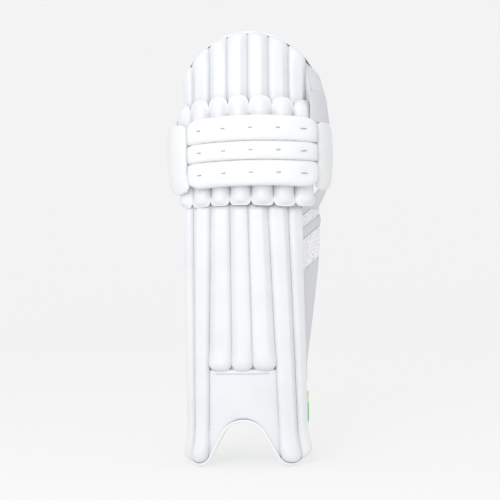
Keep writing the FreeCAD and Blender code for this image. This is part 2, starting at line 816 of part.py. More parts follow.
def strap_set(name, section):
    """One strap: its band and fold-back end, hook and loop patches, ring and ring tab."""
    path = round_the_leg(name, section)
    half = size("strap_thickness") / 2
    patch, fold = size("patch_thickness"), size("fold_radius")
    bar, length = size("ring_bar"), size("ring_length")
    x, front = size(f"{section}_ring_x"), size(f"{section}_ring_y")
    rear = front + length - bar
    z, width = f"{name}_strap_z", f"{name}_strap_width"

    fold_run = Path()
    fold_run.arc(V(x - fold, rear, 0), V(0, -1, 0), fold, 180)
    fold_run.runs += [(r[0] + fold_run.length,) + r[1:] for r in path.runs]
    total = fold_run.length + path.length
    pad(f"{name}_strap", fold_run.band(0, total, -half, half), width, z)

    flap_out = 2 * fold
    flap_end = size("flap_length")
    pad(f"{name}_strap_end", path.band(0.4, flap_end, flap_out - half, flap_out + half), width, z)
    loop_inner = half + size("sewn_gap")
    pad(f"{name}_loop_patch", path.band(22, flap_end + 12, loop_inner, half + patch), width, z)
    hook_inner = half + patch + size("patch_gap")
    pad(f"{name}_hook_patch", path.band(22, flap_end - 4, hook_inner, flap_out - half), width, z)

    tab_fold = size("tab_fold_radius")
    tab = Path()
    tab.line(V(x - tab_fold, front - 21, 0), V(x - tab_fold, front, 0))
    tab.arc(V(x - tab_fold, front, 0), V(0, 1, 0), tab_fold, -180)
    tab.line(V(x + tab_fold, front, 0), V(x + tab_fold, front - 21, 0))
    t = size("tab_thickness") / 2
    body = pad(f"{name}_ring_tab", tab.band(0, tab.length, -t, t), width, z)

    ring = doc.addObject("PartDesign::Body", f"{name}_ring")
    margin, tall = size("ring_margin"), size(width)
    low, high = -margin, tall + margin
    y0, y1 = -bar / 2, length - bar / 2
    outer = closed([V(y0, low, 0), V(y1, low, 0), V(y1, high, 0), V(y0, high, 0)])
    inner = closed([V(y0 + bar, low + bar, 0), V(y1 - bar, low + bar, 0),
                    V(y1 - bar, high - bar, 0), V(y0 + bar, high - bar, 0)])
    frame = ring.newObject("PartDesign::Pad", f"{name}_ring_pad")
    frame.Profile = draw(ring, f"{name}_ring_plan", outer + inner, "YZ_Plane")
    frame.SideType = "Symmetric"
    frame.setExpression("Length", "Sizes.ring_bar")
    ring.Placement = FreeCAD.Placement(V(x, front, size(z)), FreeCAD.Rotation())
    ring.setExpression("Placement.Base.z", f"Sizes.{z}")
    keep(ring, f"{name}_ring")
    soften(ring, "ring_fillet", lambda e: True)


strap_set("ankle", "shin")
strap_set("calf", "shin")
strap_set("knee", "knee")

# ---------------------------------------------------------------- checks and export

doc.recompute()
for obj in doc.Objects:
    if "Invalid" in obj.State or "Error" in obj.State:
        raise RuntimeError(f"{obj.Label} is {obj.State}")
for obj in nodes:
    if obj.Shape.isNull() or not obj.Shape.isValid() or obj.Shape.Volume < 1:
        raise RuntimeError(f"{obj.Label} has a bad shape")

os.makedirs(PARTS, exist_ok=True)
for obj in nodes:
    obj.Shape.exportStep(f"{PARTS}/{obj.Label}.step")
print(len(nodes), "sub-parts")
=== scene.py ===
"""Looks for the cricket leg pad: sewn leather rolls, bolsters, wings, straps and a plain studio."""

import math
import random

import bmesh
import bpy
from mathutils import Matrix, Vector


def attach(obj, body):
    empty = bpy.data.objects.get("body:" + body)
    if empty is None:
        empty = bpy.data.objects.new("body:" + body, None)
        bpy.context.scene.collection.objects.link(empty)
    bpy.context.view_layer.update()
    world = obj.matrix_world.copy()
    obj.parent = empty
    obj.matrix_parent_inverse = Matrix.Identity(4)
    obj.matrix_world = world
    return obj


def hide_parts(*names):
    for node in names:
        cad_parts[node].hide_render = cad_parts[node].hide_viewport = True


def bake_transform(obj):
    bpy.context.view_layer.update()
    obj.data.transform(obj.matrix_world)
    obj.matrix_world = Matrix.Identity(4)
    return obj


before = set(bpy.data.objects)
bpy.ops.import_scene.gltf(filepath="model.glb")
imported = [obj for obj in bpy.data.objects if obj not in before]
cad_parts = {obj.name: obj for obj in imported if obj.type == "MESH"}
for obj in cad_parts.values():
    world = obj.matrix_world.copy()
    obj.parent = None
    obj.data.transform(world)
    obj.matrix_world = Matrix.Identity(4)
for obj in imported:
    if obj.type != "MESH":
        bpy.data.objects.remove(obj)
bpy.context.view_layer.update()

MM = 0.001
rng = random.Random(7)

# ---------------------------------------------------------------- plan curves


class Plan:
    """A rounded plan curve in millimetres, with points given by arc length or angle, and rise."""

    def __init__(self, x0, front, half, medial, lateral, depth=75):
        self.x0 = x0
        self.front = front
        self.half = math.radians(half)
        self.radii = {-1: medial, 1: lateral}
        self.centre = (x0, front - depth)

    def side_centre(self, side):
        reach = self.front - self.radii[side]
        return (self.centre[0] + side * math.sin(self.half) * reach,
                self.centre[1] - math.cos(self.half) * reach)

    def angle(self, length):
        straight = self.front * self.half
        if abs(length) <= straight:
            return length / self.front
        side = 1 if length > 0 else -1
        return side * (self.half + (abs(length) - straight) / self.radii[side])

    def length(self, degrees):
        angle = math.radians(abs(degrees))
        side = 1 if degrees > 0 else -1
        if angle <= self.half:
            return side * angle * self.front
        return side * (self.half * self.front + (angle - self.half) * self.radii[side])

    def at(self, length, rise):
        a = self.angle(length)
        centre, radius = self.centre, self.front
        if abs(a) > self.half:
            side = 1 if a > 0 else -1
            centre, radius = self.side_centre(side), self.radii[side]
        return (centre[0] + math.sin(a) * (radius + rise), centre[1] - math.cos(a) * (radius + rise))


SHIN = Plan(0, 190, 20, 34, 46)
KNEE = Plan(14, 200, 22, 46, 50)
SHIN_SEAMS = [-97, -78, -47, -14.8, 14.8, 47, 80, 109]
KNEE_SEAMS = [-117, -87, -57, -26, 7, 42, 76, 106]
FLEX_TOP = 589
LEAN = math.radians(8)

# ---------------------------------------------------------------- outlines


def bottom_height(x):
    """Height of the pad's lower edge at x: arch, straight runs, round feet, outer slopes."""
    arch_z, arch_r, foot_x, foot_r = 37, 38, 79, 26
    x = abs(x)
    dx, dz = foot_x, foot_r - arch_z
    apart = math.hypot(dx, dz)
    heading = math.atan2(dz, dx) + math.acos((arch_r + foot_r) / apart)
    on_arch = (math.cos(heading) * arch_r, arch_z + math.sin(heading) * arch_r)
    on_foot = (foot_x - math.cos(heading) * foot_r, foot_r - math.sin(heading) * foot_r)
    if x <= on_arch[0]:
        return arch_z + math.sqrt(arch_r ** 2 - x ** 2)
    if x <= on_foot[0]:
        share = (x - on_arch[0]) / (on_foot[0] - on_arch[0])
        return on_arch[1] + share * (on_foot[1] - on_arch[1])
    slope = math.radians(34)
    leave = foot_x + math.sin(slope) * foot_r
    if x <= leave:
        return foot_r - math.sqrt(foot_r ** 2 - (x - foot_x) ** 2)
    return foot_r * (1 - math.cos(slope)) + (x - leave) * math.tan(slope)


def dome_height(x):
    """Height of the dome's edge at x, before the top section leans back."""
    centre_x, centre_z, r = 19, 599, 127
    reach = min(abs(x - centre_x), r - 0.5)
    return centre_z + math.sqrt(r ** 2 - reach ** 2)


def lean(p):
    """Tips a top-section point back about the flex line."""
    y, z = p[1] + 70, p[2] - FLEX_TOP
    return (p[0], y * math.cos(LEAN) + z * math.sin(LEAN) - 70,
            z * math.cos(LEAN) - y * math.sin(LEAN) + FLEX_TOP)


def stand(p):
    return p


# ---------------------------------------------------------------- meshes


def make(name, verts, faces, materials, body, replaces=(), face_slots=None, smooth=True):
    """A mesh object in metres from points in millimetres, riding on a body."""
    mesh = bpy.data.meshes.new(name)
    mesh.from_pydata([[c * MM for c in v] for v in verts], [], faces)
    for m in materials:
        mesh.materials.append(m)
    if face_slots:
        for polygon, index in zip(mesh.polygons, face_slots):
            polygon.material_index = index
    bm = bmesh.new()
    bm.from_mesh(mesh)
    bmesh.ops.recalc_face_normals(bm, faces=bm.faces)
    bm.to_mesh(mesh)
    bm.free()
    mesh.polygons.foreach_set("use_smooth", [smooth] * len(mesh.polygons))
    obj = bpy.data.objects.new(name, mesh)
    bpy.context.scene.collection.objects.link(obj)
    if body:
        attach(obj, body)
    if replaces:
        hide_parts(*replaces)
    return obj


def loft(sections, closed=True, caps=True):
    """Faces and points that join a list of rings (or open rows) of equal count."""
    n = len(sections[0])
    verts = [p for ring in sections for p in ring]
    faces = []
    around = n if closed else n - 1
    for i in range(len(sections) - 1):
        for j in range(around):
            k = (j + 1) % n
            faces.append((i * n + j, i * n + k, (i + 1) * n + k, (i + 1) * n + j))
    if closed and caps:
        faces.append(tuple(range(n))[::-1])
        last = (len(sections) - 1) * n
        faces.append(tuple(last + j for j in range(n)))
    return verts, faces


def refine(obj, levels):
    """Smooths a mesh with applied subdivision."""
    modifier = obj.modifiers.new("round", "SUBSURF")
    modifier.levels = modifier.render_levels = levels
    apply_all(obj)
    return obj


def apply_all(obj):
    deps = bpy.context.evaluated_depsgraph_get()
    deps.update()
    done = bpy.data.meshes.new_from_object(obj.evaluated_get(deps))
    obj.modifiers.clear()
    obj.data = done


def mix(a, b, t):
    return a + (b - a) * t


def end_shape(distance, reach):
    """0 at an end, 1 past its reach, on a quarter circle."""
    d = min(max(distance / reach, 0.0), 1.0)
    return math.sqrt(1 - (1 - d) ** 2)


# Roll profiles as (share across, share of height): a slanted facet on one side of a flat face,
# and the full round that a roll swells to at its ends.
FACET_LEFT = [(-0.03, 0), (-0.03, 0.42), (0.32, 0.965), (0.365, 1.0), (0.41, 1.01), (0.84, 0.97), (0.96, 0.76),
              (1.03, 0.42), (1.03, 0)]
FACET_RIGHT = [(1 - t, h) for t, h in FACET_LEFT[::-1]]
ROUND = [(-0.02, 0), (-0.02, 0.42), (0.08, 0.76), (0.27, 1.0), (0.5, 1.08), (0.73, 1.0), (0.92, 0.76),
         (1.02, 0.42), (1.02, 0)]
END_STOPS = (0, 0.6, 2.0, 4.2, 7.5, 12, 18, 27)


def roll(name, plan, left, right, low, high, rises, profile, place, materials, body, ends=(9, 9),
         narrow=(0.8, 0.8), plump=((0, 0), (0, 0)), puff=0.5, step=13.0, replaces=(), back_at=None,
         crown_at=None):
    """A stuffed vertical roll. left and right are seam lengths at (bottom, top); low and high
    give the height of its ends at a length. ends, narrow and plump shape the bottom and top ends:
    how far the rounding reaches, how narrow it gets, and (length, gain) of the swelling there.
    back_at can give the rise of its back by height, and crown_at a share of its height."""
    base, crown = rises
    middle = (left[0] + right[0]) / 2
    total = high(middle) - low(middle)
    count = max(4, int(total / step))
    places = {i * total / count for i in range(1, count)}
    places = {p for p in places if END_STOPS[-1] < p < total - END_STOPS[-1]}
    places |= {d for d in END_STOPS if d <= total / 2} | {total - d for d in END_STOPS if d < total / 2}
    wide = len(profile) > len(ROUND) + 4
    rear = [(t, -0.02) for t, _ in profile[-3:1:-1]] if wide else [(0.5, -0.02)]
    rounded = ROUND if len(profile) == len(ROUND) else profile
    rings = []
    for p in sorted(places):
        v = p / total
        a, b = mix(left[0], left[1], v), mix(right[0], right[1], v)
        swell = 1 + rng.uniform(-puff, puff) / 14
        ring = []
        for (t, h), (round_t, round_h) in zip(profile + rear, rounded + rear):
            span = high(mix(a, b, t)) - low(mix(a, b, t))
            from_low, from_high = v * span, (1 - v) * span
            near = 0 if from_low < from_high else 1
            away = min(from_low, from_high)
            e = end_shape(away, ends[near])
            reach, gain = plump[near]
            fullness = 0.5 + 0.5 * math.cos(math.pi * min(away / reach, 1.0)) if reach else 0.0
            t, h = mix(t, round_t, fullness), mix(h, round_h, fullness)
            t = 0.5 + (t - 0.5) * (1 + 0.3 * gain * fullness)
            along = mix((a + b) / 2, mix(a, b, t), mix(narrow[near], 1.0, e))
            z = mix(low(along), high(along), v)
            share = h * mix(0.14, 1.0, e) * swell * (1 + gain * fullness)
            if crown_at:
                share *= crown_at(z)
            rise = base + (crown - base) * share
            if back_at:
                rise = max(rise, back_at(z))
            x, y = plan.at(along, rise)
            ring.append(place((x, y, z)))
        rings.append(ring)
    verts, faces = loft(rings, caps=not wide)
    if wide:
        front = len(profile)
        partner = lambda i: 2 * front - 3 - i
        strip = [(0, 1, 2, partner(2)), (front - 3, front - 2, front - 1, partner(front - 3))]
        strip += [(i, i + 1, partner(i + 1), partner(i)) for i in range(2, front - 3)]
        for first in (0, (len(rings) - 1) * len(rings[0])):
            faces += [tuple(first + k for k in face) for face in strip]
    return refine(make(name, verts, faces, materials, body, replaces), 2)


def slab(name, plan, span, low, high, rises, place, materials, body, replaces=(), quilt=0.0,
         channels=9, columns=64, rows=34):
    """A section's layers in one piece: face leather in front, bound edge, quilted lining behind."""
    inner, outer = rises
    cols = [mix(span[0], span[1], i / columns) for i in range(columns + 1)]

    def column(along, front):
        share = (along - span[0]) / (span[1] - span[0])
        edge = end_shape(min(along - span[0], span[1] - along), 5)
        line = []
        for j in range(rows + 1):
            v = j / rows
            side = plan.at(along, outer if front else inner)
            z0, z1 = low(*side), high(*side)
            z = mix(z0, z1, v)
            rim = end_shape(min(z - z0, z1 - z), 5) * edge
            if front:
                rise = outer - 3 * (1 - rim)
            else:
                bulge = abs(math.sin(math.pi * channels * share)) ** 0.5
                rise = inner + 3 * (1 - rim) - quilt * (bulge - 1) * rim
            x, y = plan.at(along, rise)
            line.append(place((x, y, z)))
        return line

    loop = [column(c, True) for c in cols] + [column(c, False) for c in cols[::-1]]
    n, m = len(loop), rows + 1
    verts = [p for line in loop for p in line]
    faces, slots = [], []
    front_cols = len(cols)
    for i in range(n):
        k = (i + 1) % n
        for j in range(rows):
            faces.append((i * m + j, k * m + j, k * m + j + 1, i * m + j + 1))
            joint = i in (front_cols - 1, n - 1)
            rim = j in (0, rows - 1) or i in (0, front_cols - 2, front_cols, n - 2)
            slots.append(1 if joint or rim else (0 if i < front_cols - 1 else 2))
    for i in range(front_cols - 1):
        back, back_next = n - 1 - i, n - 2 - i
        for j in (0, rows):
            faces.append((i * m + j, (i + 1) * m + j, back_next * m + j, back * m + j))
            slots.append(1)
    return make(name, verts, faces, materials, body, replaces, slots)


def bolster(name, plan, span, z_mid, height, rises, materials, body, tacks=(), power=2.5, around=24,
            step=4.5, end=12, replaces=(), wobble=0.4, bow=None, corners=(6, 6), far_corners=None, taper=0.0,
            hold=0.45):
    """A stuffed horizontal bolster along the plan curve, with dimples where it is tacked. bow lifts
    it by length, corners round its lower and upper corners, and taper draws its low edge inward."""
    inner, outer = rises
    total = span[1] - span[0]
    count = int(total / step)
    stops = [0, 0.4, 1.2, 2.6]
    places = sorted(set(stops + [i * total / count for i in range(1, count)] + [total - s for s in stops]))
    rings = []
    for p in places:
        away = min(p, total - p)
        e = end_shape(away, end)
        along = span[0] + p
        swell = 1 + rng.uniform(-wobble, wobble) / 24
        lift = bow(along) if bow else 0.0
        under, over = corners if p < total / 2 else (far_corners or corners)
        low = -height / 2 + under * (1 - end_shape(away, under * 1.3))
        high = height / 2 - over * (1 - end_shape(away, over * 1.3))
        ring = []
        for k in range(around):
            a = 2 * math.pi * k / around
            c, s = math.cos(a), math.sin(a)
            dz = mix(low, high, 0.5 + 0.5 * math.copysign(abs(c) ** (2 / power), c))
            depth = math.copysign(abs(s) ** (2 / power), s)
            rise = inner + (outer - inner) * (0.5 + 0.5 * depth * swell) * mix(hold, 1.0, e)
            rise -= taper * max(0.0, -dz / height) * (1 if s > 0 else 0.6)
            if s > 0:
                for t in tacks:
                    gap = math.hypot(along - t, dz * 1.2)
                    rise -= 3.2 * math.exp(-(gap / 4.5) ** 2) + 1.6 * math.exp(-(gap / 14.0) ** 2)
            x, y = plan.at(along, rise)
            ring.append((x, y, z_mid + lift + dz))
        rings.append(ring)
    verts, faces = loft(rings)
    return refine(make(name, verts, faces, materials, body, replaces), 1)


def fill(obj, cap, held=None, voxel=0.0045, pressure=4.0, up_cap=0.8):
    """Swells a padded piece by cloth simulation. No point moves more than cap millimetres, or
    up_cap in height, and held(point in mm) tells which points are sewn down."""
    scene = bpy.context.scene
    remesh = obj.modifiers.new("even", "REMESH")
    remesh.mode, remesh.voxel_size, remesh.use_smooth_shade = "VOXEL", voxel, True
    apply_all(obj)
    start = [v.co.copy() for v in obj.data.vertices]
    group = obj.vertex_groups.new(name="sewn")
    if held:
        group.add([i for i, co in enumerate(start) if held(co / MM)], 1.0, "REPLACE")
    cloth = obj.modifiers.new("fill", "CLOTH")
    settings = cloth.settings
    settings.quality = 4
    settings.mass = 0.2
    settings.tension_stiffness = settings.compression_stiffness = 12
    settings.shear_stiffness = 6
    settings.bending_stiffness = 0.4
    settings.use_pressure = True
    settings.uniform_pressure_force = pressure
    settings.effector_weights.gravity = 0
    settings.vertex_group_mass = "sewn"
    cloth.point_cache.frame_start, cloth.point_cache.frame_end = 1, 20
    for frame_number in range(1, 21):
        scene.frame_set(frame_number)
    posed = obj.evaluated_get(bpy.context.evaluated_depsgraph_get()).data
    moved = [v.co.copy() for v in posed.vertices]
    obj.modifiers.clear()
    obj.vertex_groups.clear()
    scene.frame_set(1)
    for vertex, a, b in zip(obj.data.vertices, start, moved):
        shift = b - a
        if shift.length > cap * MM:
            shift *= cap * MM / shift.length
        shift.z = max(-up_cap * MM, min(up_cap * MM, shift.z))
        vertex.co = a + shift
    return refine(obj, 1)


def tube(points, radius, sides=6, cap=True):
    """Points and faces of a round tube through a list of points, in millimetres."""
    rings = []
    for i, p in enumerate(points):
        before, after = Vector(points[max(i - 1, 0)]), Vector(points[min(i + 1, len(points) - 1)])
        heading = (after - before).normalized()
        side = heading.cross(Vector((0.1, 0.98, 0.2))).normalized()
        up = side.cross(heading)
        ring = []
        for k in range(sides):
            a = 2 * math.pi * k / sides
            ring.append(tuple(Vector(p) + (side * math.cos(a) + up * math.sin(a)) * radius))
        rings.append(ring)
    return loft(rings)


def join_parts(parts):
    """Joins (points, faces) pairs into one."""
    verts, faces = [], []
    for v, f in parts:
        base = len(verts)
        verts += v
        faces += [tuple(i + base for i in face) for face in f]
    return verts, faces


def stitches(name, lines, material, body, pitch=5.2, size=3.4, radius=0.55):
    """Rows of short sewn stitches that follow lines of points in millimetres."""
    parts = []
    for line in lines:
        walked, due = 0.0, pitch / 2
        for p, q in zip(line, line[1:]):
            a, b = Vector(p), Vector(q)
            run = (b - a).length
            while due <= walked + run and run > 0:
                centre = a.lerp(b, (due - walked) / run)
                heading = (b - a).normalized() * size / 2
                path = [centre - heading, centre - heading * 0.6, centre + heading * 0.6, centre + heading]
                v, f = tube([tuple(c) for c in path], radius, 5)
                parts.append((v, f))
                due += pitch
            walked += run
    verts, faces = join_parts(parts)
    obj = make(name, verts, faces, [material], body)
    return obj


def edge_strip(name, plan, span, height, rises, width, place, material, body, replaces=(), up=1,
               columns=110):
    """A binding folded over a section's edge: height(x) gives the edge, up=-1 for a top edge."""
    front, back = rises
    sections = []
    for i in range(columns + 1):
        along = mix(span[0], span[1], i / columns)
        ring = []

        def point(rise, inward):
            x, y = plan.at(along, rise)
            slope = (height(x + 0.5) - height(x - 0.5)) * up
            norm = math.hypot(slope, 1)
            nx, nz = -slope / norm, 1 / norm
            facing = max(math.cos(plan.angle(along)), 0.35)
            x2, y2 = plan.at(along + inward * nx * up / facing * 0.9, rise)
            return place((x2, y2, height(x) + inward * nz * up))

        ring.append(point(front, width))
        ring.append(point(front + 0.9, width * 0.55))
        ring.append(point(front + 0.4, 0.4))
        ring.append(point(mix(front, back, 0.12), -0.9))
        ring.append(point(mix(front, back, 0.5), -0.6))
        ring.append(point(mix(front, back, 0.88), -0.9))
        ring.append(point(back - 0.4, 0.4))
        ring.append(point(back - 0.9, width * 0.55))
        ring.append(point(back, width))
        ring.append(point(mix(front, back, 0.8), width * 0.7))
        ring.append(point(mix(front, back, 0.2), width * 0.7))
        sections.append(ring)
    verts, faces = loft(sections)
    return refine(make(name, verts, faces, [material], body, replaces), 1)


class Path:
    """Lines and tangent arcs in plan, with points given by length and side offset."""

    def __init__(self):
        self.runs = []
        self.length = 0.0

    def go(self, start, heading, along, turn=0.0):
        self.runs.append((self.length, along, start, heading, turn))
        self.length += along
        return self

    def line(self, start, end):
        dx, dy = end[0] - start[0], end[1] - start[1]
        along = math.hypot(dx, dy)
        return self.go(start, (dx / along, dy / along), along)

    def arc(self, start, heading, radius, degrees):
        return self.go(start, heading, math.radians(abs(degrees)) * radius,
                       math.copysign(1 / radius, degrees))

    def at(self, length, offset):
        run = next((r for r in self.runs if length <= r[0] + r[1] + 1e-9), self.runs[-1])
        first, _, start, (hx, hy), turn = run
        s = length - first
        left = (-hy, hx)
        if turn == 0:
            return (start[0] + hx * s + left[0] * offset, start[1] + hy * s + left[1] * offset)
        a, r = turn * s, 1 / turn
        centre = (start[0] + left[0] * r, start[1] + left[1] * r)
        spoke = (hx * math.sin(a) - left[0] * math.cos(a), hy * math.sin(a) - left[1] * math.cos(a))
        return (centre[0] + spoke[0] * (r - offset), centre[1] + spoke[1] * (r - offset))


def band(name, path, span, offsets, heights, rows, materials, body, replaces=(), stripe=None,
         step=3.0, waves=0.0):
    """A flat strip along a path: rows across its width, each row of faces striped by material."""
    count = max(2, int((span[1] - span[0]) / step))
    inner, outer = offsets
    middle, half = (inner + outer) / 2, (outer - inner) / 2
    sections = []
    for i in range(count + 1):
        s = mix(span[0], span[1], i / count)
        tip = min(end_shape(s - span[0], 2.0), end_shape(span[1] - s, 2.0))
        drift = waves * math.sin(s * 0.11)
        ring = []
        for side in (1, -1):
            order = range(rows + 1) if side == 1 else range(rows, -1, -1)
            for j in order:
                v = j / rows
                rim = end_shape(min(v, 1 - v) * (heights[1] - heights[0]), 1.2)
                z = mix(heights[0], heights[1], v) + drift
                x, y = path.at(s, middle + side * half * mix(0.45, 1.0, min(rim, tip)))
                ring.append((x, y, z))
        sections.append(ring)
    verts, faces = loft(sections)
    n = len(sections[0])
    slots = []
    if stripe:
        for i in range(len(sections) - 1):
            for j in range(n):
                row = j if j <= rows else n - 1 - j - 1
                slots.append(stripe[min(max(row if j < rows else (2 * rows - j), 0), rows - 1)])
        slots += [0, 0]
    obj = make(name, verts, faces, materials, body, replaces, slots or None)
    return obj


# ---------------------------------------------------------------- materials


def shader(name, colour, roughness, sheen=0.0, coat=0.0, metallic=0.0):
    """A material with its Principled shader and object coordinates ready to link."""
    material = bpy.data.materials.new(name)
    material.use_nodes = True
    tree = material.node_tree
    bsdf = tree.nodes["Principled BSDF"]
    bsdf.inputs["Base Color"].default_value = (*colour, 1)
    bsdf.inputs["Roughness"].default_value = roughness
    bsdf.inputs["Sheen Weight"].default_value = sheen
    bsdf.inputs["Coat Weight"].default_value = coat
    bsdf.inputs["Metallic"].default_value = metallic
    coords = tree.nodes.new("ShaderNodeTexCoord").outputs["Object"]
    return material, tree, bsdf, coords


def node(tree, kind, **settings):
    made = tree.nodes.new(kind)
    for key, value in settings.items():
        if key in made.inputs:
            made.inputs[key].default_value = value
        else:
            setattr(made, key, value)
    return made


def tint(tree, bsdf, factor, dark, light, low=0.35, high=0.65):
    """Colours the surface between two shades by a texture's value."""
    ramp = node(tree, "ShaderNodeValToRGB")
    ramp.color_ramp.elements[0].position, ramp.color_ramp.elements[1].position = low, high
    ramp.color_ramp.elements[0].color = (*dark, 1)
    ramp.color_ramp.elements[1].color = (*light, 1)
    tree.links.new(factor, ramp.inputs["Fac"])
    tree.links.new(ramp.outputs["Color"], bsdf.inputs["Base Color"])
    return ramp


def bump(tree, bsdf, height, strength, distance, below=None):
    made = node(tree, "ShaderNodeBump", Strength=strength, Distance=distance)
    tree.links.new(height, made.inputs["Height"])
    if below:
        tree.links.new(below.outputs["Normal"], made.inputs["Normal"])
    tree.links.new(made.outputs["Normal"], bsdf.inputs["Normal"])
    return made


def leather(name, colour, roughness=0.4, grain=620, depth=0.35, creases=0.25):
    """Grained synthetic leather: pebbles, soft creases, worn and soiled tone in broad random patches."""
    material, tree, bsdf, coords = shader(name, colour, roughness, coat=0.08)
    pebbles = node(tree, "ShaderNodeTexVoronoi", Scale=grain, feature="SMOOTH_F1")
    folds = node(tree, "ShaderNodeTexNoise", Scale=46, Detail=5, Roughness=0.55, Distortion=0.6)
    patches = node(tree, "ShaderNodeTexNoise", Scale=14, Detail=3)
    for texture in (pebbles, folds, patches):
        tree.links.new(coords, texture.inputs["Vector"])
    soft = bump(tree, bsdf, folds.outputs["Fac"], creases, 0.0016)
    bump(tree, bsdf, pebbles.outputs["Distance"], depth, 0.0003, soft)
    dark = tuple(c * 0.955 for c in colour)
    tint(tree, bsdf, patches.outputs["Fac"], dark, colour, 0.3, 0.6)
    rough = node(tree, "ShaderNodeMapRange")
    rough.inputs["To Min"].default_value = roughness - 0.07
    rough.inputs["To Max"].default_value = roughness + 0.09
    tree.links.new(folds.outputs["Fac"], rough.inputs["Value"])
    tree.links.new(rough.outputs["Result"], bsdf.inputs["Roughness"])
    return material


def open_mesh(name, colour, hole, pitch=330, scatter=0.0):
    """Knitted spacer mesh: rows of small dark holes in a pale fabric."""
    material, tree, bsdf, coords = shader(name, colour, 0.75, sheen=0.3)
    cells = node(tree, "ShaderNodeTexVoronoi", Scale=pitch, Randomness=scatter)
    tree.links.new(coords, cells.inputs["Vector"])
    tint(tree, bsdf, cells.outputs["Distance"], hole, colour, 0.18, 0.40)
    bump(tree, bsdf, cells.outputs["Distance"], 0.7, 0.0006)
    return material


def woven(name, colour, pitch=900, sheen=0.35, roughness=0.8, dark=0.82):
    """Woven webbing: ribs one way crossed by a finer weave."""
    material, tree, bsdf, coords = shader(name, colour, roughness, sheen=sheen)
    ribs = node(tree, "ShaderNodeTexWave", Scale=pitch / 6.28, bands_direction="Z", Distortion=0.6)
    weft = node(tree, "ShaderNodeTexWave", Scale=pitch / 8.5, bands_direction="DIAGONAL", Distortion=0.4)
    fuzz = node(tree, "ShaderNodeTexNoise", Scale=800, Detail=2)
    for texture in (ribs, weft, fuzz):
        tree.links.new(coords, texture.inputs["Vector"])
    tint(tree, bsdf, fuzz.outputs["Fac"], tuple(c * dark for c in colour), colour, 0.3, 0.62)
    under = bump(tree, bsdf, ribs.outputs["Fac"], 0.5, 0.0004)
    bump(tree, bsdf, weft.outputs["Fac"], 0.3, 0.0003, under)
    return material


def pile(name, colour, scale=1500, strength=0.8):
    """Brushed or looped pile: lining cloth and hook-and-loop tape."""
    material, tree, bsdf, coords = shader(name, colour, 0.9, sheen=0.5)
    fibres = node(tree, "ShaderNodeTexNoise", Scale=scale, Detail=3, Roughness=0.7)
    broad = node(tree, "ShaderNodeTexNoise", Scale=60, Detail=2)
    for texture in (fibres, broad):
        tree.links.new(coords, texture.inputs["Vector"])
    tint(tree, bsdf, broad.outputs["Fac"], tuple(c * 0.9 for c in colour), colour)
    bump(tree, bsdf, fibres.outputs["Fac"], strength, 0.0005)
    return material


def plated(name, colour):
    """Plated steel with fine scratches."""
    material, tree, bsdf, coords = shader(name, colour, 0.22, metallic=1.0)
    scratches = node(tree, "ShaderNodeTexNoise", Scale=300, Detail=6, Roughness=0.8)
    tree.links.new(coords, scratches.inputs["Vector"])
    rough = node(tree, "ShaderNodeMapRange")
    rough.inputs["To Min"].default_value = 0.16
    rough.inputs["To Max"].default_value = 0.38
    tree.links.new(scratches.outputs["Fac"], rough.inputs["Value"])
    tree.links.new(rough.outputs["Result"], bsdf.inputs["Roughness"])
    bump(tree, bsdf, scratches.outputs["Fac"], 0.1, 0.0002)
    return material


FACE = leather("face_leather", (0.77, 0.785, 0.805))
# Painted shade: the top section's leather is the same white leather as the face, painted darker and bluer for the
# shade that falls on its back-leaning rolls.
TOP_FACE_PAINTED_SHADE = leather("top_leather", (0.74, 0.76, 0.785))
KNEE_FACE = leather("knee_leather", (0.80, 0.81, 0.822), 0.38, depth=0.2)
PANEL = leather("panel_leather", (0.755, 0.77, 0.80), 0.47)
WING_FACE = leather("wing_leather", (0.66, 0.67, 0.70), 0.42, depth=0.25)
BINDING = leather("binding_leather", (0.84, 0.85, 0.87), 0.38, depth=0.2, creases=0.4)
MESH = open_mesh("mesh_fabric", (0.90, 0.905, 0.92), (0.42, 0.43, 0.46), 300, 0.9)
LINING = pile("lining_cloth", (0.60, 0.61, 0.64))
CUSHION = open_mesh("cushion_cloth", (0.66, 0.67, 0.70), (0.40, 0.41, 0.44), 420)
WHITE_WEB = woven("white_webbing", (0.74, 0.755, 0.77))
LIME_WEB = woven("lime_webbing", (0.62, 0.90, 0.16))
GREEN_WEB = woven("green_webbing", (0.015, 0.60, 0.06))
HOOKS = pile("hook_tape", (0.68, 0.70, 0.72), 2200, 1.0)
LOOPS = pile("loop_tape", (0.72, 0.74, 0.76), 1200)
THREAD = woven("thread", (0.46, 0.49, 0.56), 2000)
DARK_THREAD = woven("tack_thread", (0.33, 0.34, 0.38), 2000)
STEEL = plated("ring_steel", (0.78, 0.79, 0.81))
CANE = woven("cane", (0.62, 0.47, 0.26), 500)

# ---------------------------------------------------------------- shin section

EDGE_GAP = 3.8
FOOT_SEAMS = [-98, -83, -60, -18.5, 18.5, 60, 90, 109]


def wedge(y, level, degrees, hinge=-60):
    """Height of a section's underside, cut away behind the hinge so that it can tip back."""
    return level + max(0.0, y - hinge) * math.tan(math.radians(degrees))


def on(plan, rule, rise=8):
    """Turns a rule of (x, y) into a rule of length along a plan curve."""
    return lambda along: rule(*plan.at(along, rise))


shin_low = lambda x, y: bottom_height(x) + 2.2
shell = slab("shin_shell", SHIN, (-99.3, 111.1), shin_low, lambda x, y: 439.5, (-25.8, 1.0), stand,
             [FACE, BINDING, LINING], "shin", ["shin_board", "shin_sponge", "shin_lining"], quilt=2.4)

